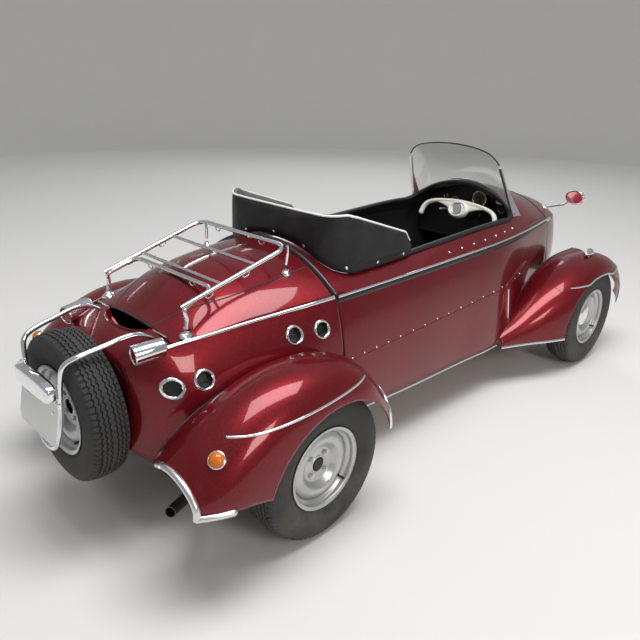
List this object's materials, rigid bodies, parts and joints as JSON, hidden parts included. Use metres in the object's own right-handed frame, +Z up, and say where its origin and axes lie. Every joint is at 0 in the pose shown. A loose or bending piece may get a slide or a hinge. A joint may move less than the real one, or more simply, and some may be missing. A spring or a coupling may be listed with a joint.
{
  "type": "tandem two-seat microcar",
  "caption": "Open tandem two-seat microcar with a narrow tub, separate fenders, side-hinged canopy frame, rear engine lid with rack and a tail-mounted spare wheel.",
  "frame": {"origin": "ground level under the middle of the car's overall length, on its centre plane", "axes": "+X towards the nose, +Y to the car's left, +Z up"},
  "size_m": [3.0036, 1.2632, 1.0779],
  "materials": {
    "body_paint": "gloss metallic dark wine red",
    "chrome": "polished",
    "tyre": "matte rubber with a ribbed tread",
    "wheel_silver": "satin silver paint",
    "black_vinyl": "grained black vinyl with white piping",
    "seat_vinyl": "grained black vinyl",
    "black_trim": "matte black",
    "aluminium": "satin",
    "glass": "clear",
    "red_lens": "clear red",
    "amber_lens": "clear amber",
    "lamp_glass": "clear over a bright bowl",
    "plate_white": "satin white, blank",
    "ivory": "gloss ivory",
    "dark_metal": "dark painted iron",
    "exhaust_metal": "heat-stained steel"
  },
  "bodies": {
    "body": {"rear_body": "body_paint", "tub_shell": "body_paint", "nose_shell": "body_paint", "rear_fender_left": "body_paint", "rear_fender_right": "body_paint", "front_fender_left": "body_paint", "front_fender_right": "body_paint", "vent_rings": "chrome", "hinge_pins": "chrome", "spare_tyre": "tyre", "spare_rim": "wheel_silver", "spare_bracket": "dark_metal", "guard_tube": "chrome", "number_plate": "plate_white", "plate_lamp": "chrome", "exhaust_pipe": "exhaust_metal", "engine_block": "dark_metal", "jack_pads": "dark_metal", "front_suspension": "dark_metal", "rear_suspension": "dark_metal", "tail_lamps": "chrome", "tail_lenses": "red_lens", "rear_indicators": "amber_lens", "side_lamps": "chrome", "headlamps": "lamp_glass", "mirror": "chrome", "seat_frames": "dark_metal", "seat_front": "seat_vinyl", "seat_rear": "seat_vinyl", "dash_panel": "black_trim", "steering_column": "black_trim"},
    "canopy": {"canopy_frame": "body_paint", "windscreen_glass": "glass", "screen_brackets": "aluminium", "hood_collar": "black_vinyl"},
    "engine_cover": {"engine_lid": "body_paint", "luggage_rack": "chrome"},
    "knuckle_left": {"knuckle_left": "dark_metal"},
    "knuckle_right": {"knuckle_right": "dark_metal"},
    "wheel_front_left": {"tyre_front_left": "tyre", "rim_front_left": "wheel_silver", "hub_cap_front_left": "chrome"},
    "wheel_front_right": {"tyre_front_right": "tyre", "rim_front_right": "wheel_silver", "hub_cap_front_right": "chrome"},
    "wheel_rear_left": {"tyre_rear_left": "tyre", "rim_rear_left": "wheel_silver"},
    "wheel_rear_right": {"tyre_rear_right": "tyre", "rim_rear_right": "wheel_silver"},
    "yoke": {"steering_yoke": "ivory"}
  },
  "joints": [
    {"name": "canopy_tilt", "type": "hinge", "parent": "body", "child": "canopy", "pos_m": [-0.1, -0.374, 0.702], "axis": [1, 0, 0], "range_deg": [0, 70]},
    {"name": "engine_cover_tilt", "type": "hinge", "parent": "body", "child": "engine_cover", "pos_m": [-1.168, 0, 0.67], "axis": [0, -1, 0], "range_deg": [0, 50]},
    {"name": "steer_left", "type": "hinge", "parent": "body", "child": "knuckle_left", "pos_m": [1.03, 0.43, 0.247], "axis": [0, 0, 1], "range_deg": [-20, 20]},
    {"name": "steer_right", "type": "hinge", "parent": "body", "child": "knuckle_right", "pos_m": [1.03, -0.43, 0.247], "axis": [0, 0, 1], "range_deg": [-20, 20]},
    {"name": "yoke_turn", "type": "hinge", "parent": "body", "child": "yoke", "pos_m": [0.645, 0, 0.75], "axis": [-0.9063, 0, 0.4226], "range_deg": [-16, 16]},
    {"name": "wheel_front_left_spin", "type": "hinge", "parent": "knuckle_left", "child": "wheel_front_left", "pos_m": [1.03, 0.525, 0.247], "axis": [0, 1, 0], "continuous": true},
    {"name": "wheel_front_right_spin", "type": "hinge", "parent": "knuckle_right", "child": "wheel_front_right", "pos_m": [1.03, -0.525, 0.247], "axis": [0, 1, 0], "continuous": true},
    {"name": "wheel_rear_left_spin", "type": "hinge", "parent": "body", "child": "wheel_rear_left", "pos_m": [-0.86, 0.51, 0.247], "axis": [0, 1, 0], "continuous": true},
    {"name": "wheel_rear_right_spin", "type": "hinge", "parent": "body", "child": "wheel_rear_right", "pos_m": [-0.86, -0.51, 0.247], "axis": [0, 1, 0], "continuous": true}
  ],
  "couplings": [
    {"joint": "steer_right", "follows": "steer_left", "ratio": 1},
    {"joint": "yoke_turn", "follows": "steer_left", "ratio": 0.8}
  ]
}
